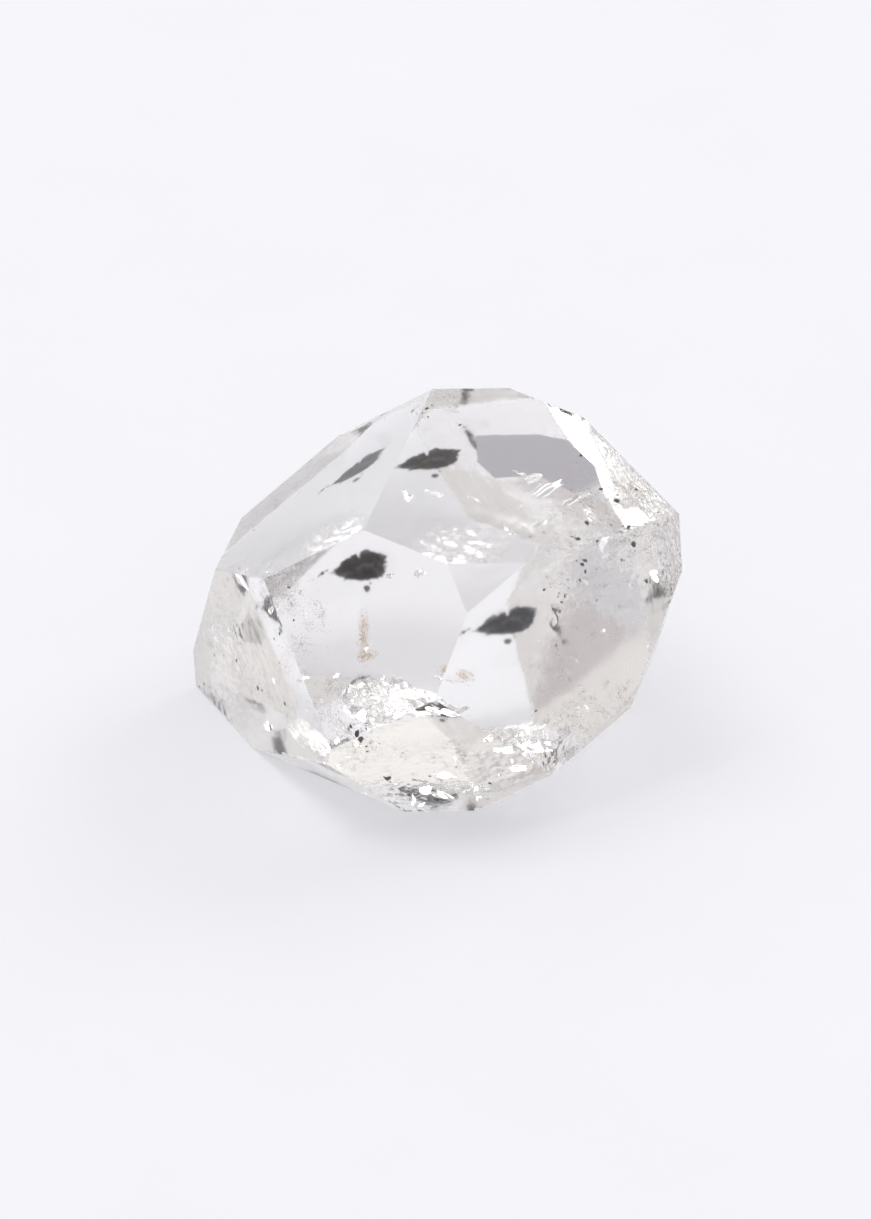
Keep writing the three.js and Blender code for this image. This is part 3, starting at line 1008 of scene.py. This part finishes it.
class CRYSTAL_OT_carbon(bpy.types.Operator):
    """Builds the black flake, the splinters beside it and the loose grains, and gives the flake's
    small grain the carbon material
    """

    bl_idname = "crystal.carbon"
    bl_label = "Carbon"

    def execute(self, context):
        material = carbon_material()
        middle, axes = flake_axes()
        points, quads, triangles = flake(np.array(FLAKE_OUTLINE) * MM, FLAKE_THICKNESS, 3)
        plate = mesh_object("black_flake", points @ axes + middle, quads, triangles, material)
        outward(plate)
        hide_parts("carbon_flake")
        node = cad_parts["carbon_grain"]
        node.data.materials.clear()
        node.data.materials.append(material)
        x, y, z, length, width, turn = np.array(SPLINTERS).T
        centres = middle + MM * np.stack([x, y, z], 1) @ axes
        angle = np.radians(turn)[:, None]
        along = np.cos(angle) * axes[0] + np.sin(angle) * axes[1]
        facing = np.broadcast_to(axes[2], along.shape)
        turns = np.stack([along, np.cross(facing, along), facing], 2)
        slim = width / length
        shape = grains(centres, length * MM, 0.8 * slim, 8, 8, 12, turns, slim)
        splinters = mesh_object("carbon_splinters", *shape, material)
        outward(splinters)
        centres, sizes = [], []
        rng = np.random.default_rng(21)
        for face, x, y, size in rows_by_face(DARK_GRAINS):
            place = np.array([x, y]) * MM
            centres.append(sight(place, face, rng.uniform(*DARK_DEPTHS) * MM))
            sizes.append(size * MM)
            for _ in range(3):
                near = place + rng.normal(0, 0.12, 2) * MM
                centres.append(sight(near, face, rng.uniform(*DARK_DEPTHS) * MM))
                sizes.append(size * rng.uniform(0.2, 0.45) * MM)
        centres = np.vstack(centres)
        inside = sealed(centres, DARK_MARGIN)
        centres, sizes = centres[inside], np.array(sizes)[inside]
        shape = grains(centres, sizes, rng.uniform(0.3, 0.7, len(sizes)), 9, 6, 8)
        loose = mesh_object("carbon_grains", *shape, material)
        outward(loose)
        for thing in (plate, splinters, loose):
            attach(thing, "root")
        return {"FINISHED"}


class CRYSTAL_OT_veils(bpy.types.Operator):
    """Builds the clouds of fine matter and the rusty stains"""

    bl_idname = "crystal.veils"
    bl_label = "Veils"

    def execute(self, context):
        material = veil_material()
        rng = np.random.default_rng(5)
        centres = veil_places(rng, VEIL_SHARE)
        count = len(centres)
        sizes = rng.uniform(*VEIL_SIZES, count) * MM
        shape = grains(centres, sizes, rng.uniform(0.15, 0.5, count), 6, 2, 4)
        veils = mesh_object("bubble_veils", *shape, material)
        outward(veils)
        centres = []
        for x, y, wide, high, face, count in STAINS:
            places = np.array([x, y]) + rng.normal(0, 0.5, (count, 2)) * (wide, high)
            centres.append(sight(places * MM, face, rng.uniform(*STAIN_DEPTHS, count) * MM))
        centres = np.vstack(centres)
        centres = centres[sealed(centres, GRAIN_MARGIN)]
        count = len(centres)
        sizes = rng.uniform(*STAIN_SIZES, count) * MM
        shape = grains(centres, sizes, rng.uniform(0.2, 0.6, count), 13, 2, 4)
        stains = mesh_object("rusty_stains", *shape, stain_material())
        outward(stains)
        for thing in (veils, stains):
            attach(thing, "root")
        return {"FINISHED"}


def floor_material(colour):
    """Matt pale board that glows a little by itself, its tone wandering by a hundredth."""
    material, nodes, links, shader = new_material("pale_floor")
    shades = [(0.0, 0.985 * np.array(colour)), (1.0, 1.015 * np.array(colour))]
    _, ramp = mottling(nodes, links, shader, 260, 3, shades)
    links.new(ramp.outputs["Color"], shader.inputs["Emission Color"])
    shader.inputs["Emission Strength"].default_value = FLOOR_GLOW
    shader.inputs["Roughness"].default_value = 0.9
    shader.inputs["Specular IOR Level"].default_value = 0.0
    return material


def surroundings(strength):
    """White all round, a little warmer near the floor, with a few soft cards.

    Each card multiplies the colour where the direction lies within its soft rim.
    """
    world = bpy.data.worlds.new("surroundings")
    world.use_nodes = True
    nodes, links = world.node_tree.nodes, world.node_tree.links
    place = nodes.new("ShaderNodeTexCoord").outputs["Generated"]

    def towards(direction, low, high):
        along = nodes.new("ShaderNodeVectorMath")
        along.operation = "DOT_PRODUCT"
        along.inputs[1].default_value = direction
        links.new(place, along.inputs[0])
        spread = nodes.new("ShaderNodeMapRange")
        spread.interpolation_type = "SMOOTHSTEP"
        spread.inputs["From Min"].default_value = low
        spread.inputs["From Max"].default_value = high
        links.new(along.outputs["Value"], spread.inputs["Value"])
        return spread.outputs["Result"]

    def blend(share, first, second, way):
        mix = nodes.new("ShaderNodeMix")
        mix.data_type = "RGBA"
        mix.blend_type = way
        links.new(share, mix.inputs["Factor"])
        for socket, value in ((mix.inputs[6], first), (mix.inputs[7], second)):
            if isinstance(value, tuple):
                socket.default_value = (*value, 1)
            else:
                links.new(value, socket)
        return mix.outputs[2]

    colour = blend(towards((0, 0, 1), 0.0, 0.6), LOW_LIGHT, HIGH_LIGHT, "MIX")
    for direction, low, high, tint in CARDS:
        facing = towards(unit(np.array(direction)), low, high)
        colour = blend(facing, colour, tint, "MULTIPLY")
    links.new(colour, nodes["Background"].inputs["Color"])
    nodes["Background"].inputs["Strength"].default_value = strength
    return world


def softbox(name, towards, distance, size, strength):
    """A square area light that faces the crystal from a direction."""
    x, y, z = unit(np.array(towards))
    light = bpy.data.lights.new(name, "AREA")
    light.shape = "SQUARE"
    light.size = size
    light.energy = strength * np.pi * size * size
    holder = bpy.data.objects.new(name, light)
    holder.location = np.array([x, y, z]) * distance
    holder.rotation_euler = (0, np.arctan2(np.hypot(x, y), z), np.arctan2(y, x))
    bpy.context.collection.objects.link(holder)


class CRYSTAL_OT_stage(bpy.types.Operator):
    """Sets the floor, the light and the camera"""

    bl_idname = "crystal.stage"
    bl_label = "Floor, light and camera"

    def execute(self, context):
        s = context.scene.stage
        corners = FLOOR_REACH * np.array([[-1, -1, 0], [1, -1, 0], [1, 1, 0], [-1, 1, 0]], float)
        corners[:, 2] = -FLOOR_DROP
        square, no_triangles = np.array([[0, 1, 2, 3]]), np.zeros((0, 3), int)
        floor = mesh_object("floor", corners, square, no_triangles, floor_material(s.floor_colour))
        context.scene.world = surroundings(s.sky_strength)
        for name, towards, distance, size, strength in SOFTBOXES:
            softbox(name, towards, distance, size, strength)
        middle, right, up, towards = picture_frame()
        aim = middle + AIM_RIGHT * right + AIM_UP * up
        camera = bpy.data.cameras.new("camera")
        camera.sensor_fit = "HORIZONTAL"
        camera.sensor_width = SENSOR_WIDTH
        camera.lens = s.lens
        camera.clip_start = 0.01
        camera.clip_end = 10.0
        holder = bpy.data.objects.new("camera", camera)
        distance = s.lens * s.picture_width / SENSOR_WIDTH
        stand = np.eye(4)
        stand[:3] = np.stack([right, up, towards, aim + towards * distance], 1)
        holder.matrix_world = Matrix(stand)
        context.collection.objects.link(holder)
        context.scene.camera = holder
        context.scene.view_settings.view_transform = "Standard"
        context.scene.cycles.max_bounces = LIGHT_BOUNCES
        context.scene.cycles.transmission_bounces = LIGHT_BOUNCES
        context.scene.cycles.glossy_bounces = LIGHT_BOUNCES
        context.scene.cycles.use_denoising = True
        return {"FINISHED"}


class CRYSTAL_PT_panel(bpy.types.Panel):
    """Lists the crystal's steps and sizes"""

    bl_label = "Crystal"
    bl_idname = "CRYSTAL_PT_panel"
    bl_space_type = "VIEW_3D"
    bl_region_type = "UI"
    bl_category = "Crystal"

    def draw(self, context):
        for operator in OPERATORS:
            self.layout.operator(operator.bl_idname)
        for group in (context.scene.crystal, context.scene.stage):
            for name in group.bl_rna.properties.keys():
                if name not in ("name", "rna_type"):
                    self.layout.prop(group, name)


OPERATORS = (CRYSTAL_OT_clear_body, CRYSTAL_OT_carbon, CRYSTAL_OT_veils, CRYSTAL_OT_stage)
CLASSES = (CrystalSettings, StageSettings, *OPERATORS, CRYSTAL_PT_panel)


def register():
    """Registers the classes and hangs the settings on the scene."""
    for cls in CLASSES:
        bpy.utils.register_class(cls)
    bpy.types.Scene.crystal = bpy.props.PointerProperty(type=CrystalSettings)
    bpy.types.Scene.stage = bpy.props.PointerProperty(type=StageSettings)


def unregister():
    """Takes the settings and classes away again."""
    del bpy.types.Scene.stage
    del bpy.types.Scene.crystal
    for cls in reversed(CLASSES):
        bpy.utils.unregister_class(cls)


def main():
    """Builds every piece in order, then the stage."""
    register()
    bpy.ops.crystal.clear_body()
    bpy.ops.crystal.carbon()
    bpy.ops.crystal.veils()
    bpy.ops.crystal.stage()


if __name__ == "__main__":
    main()
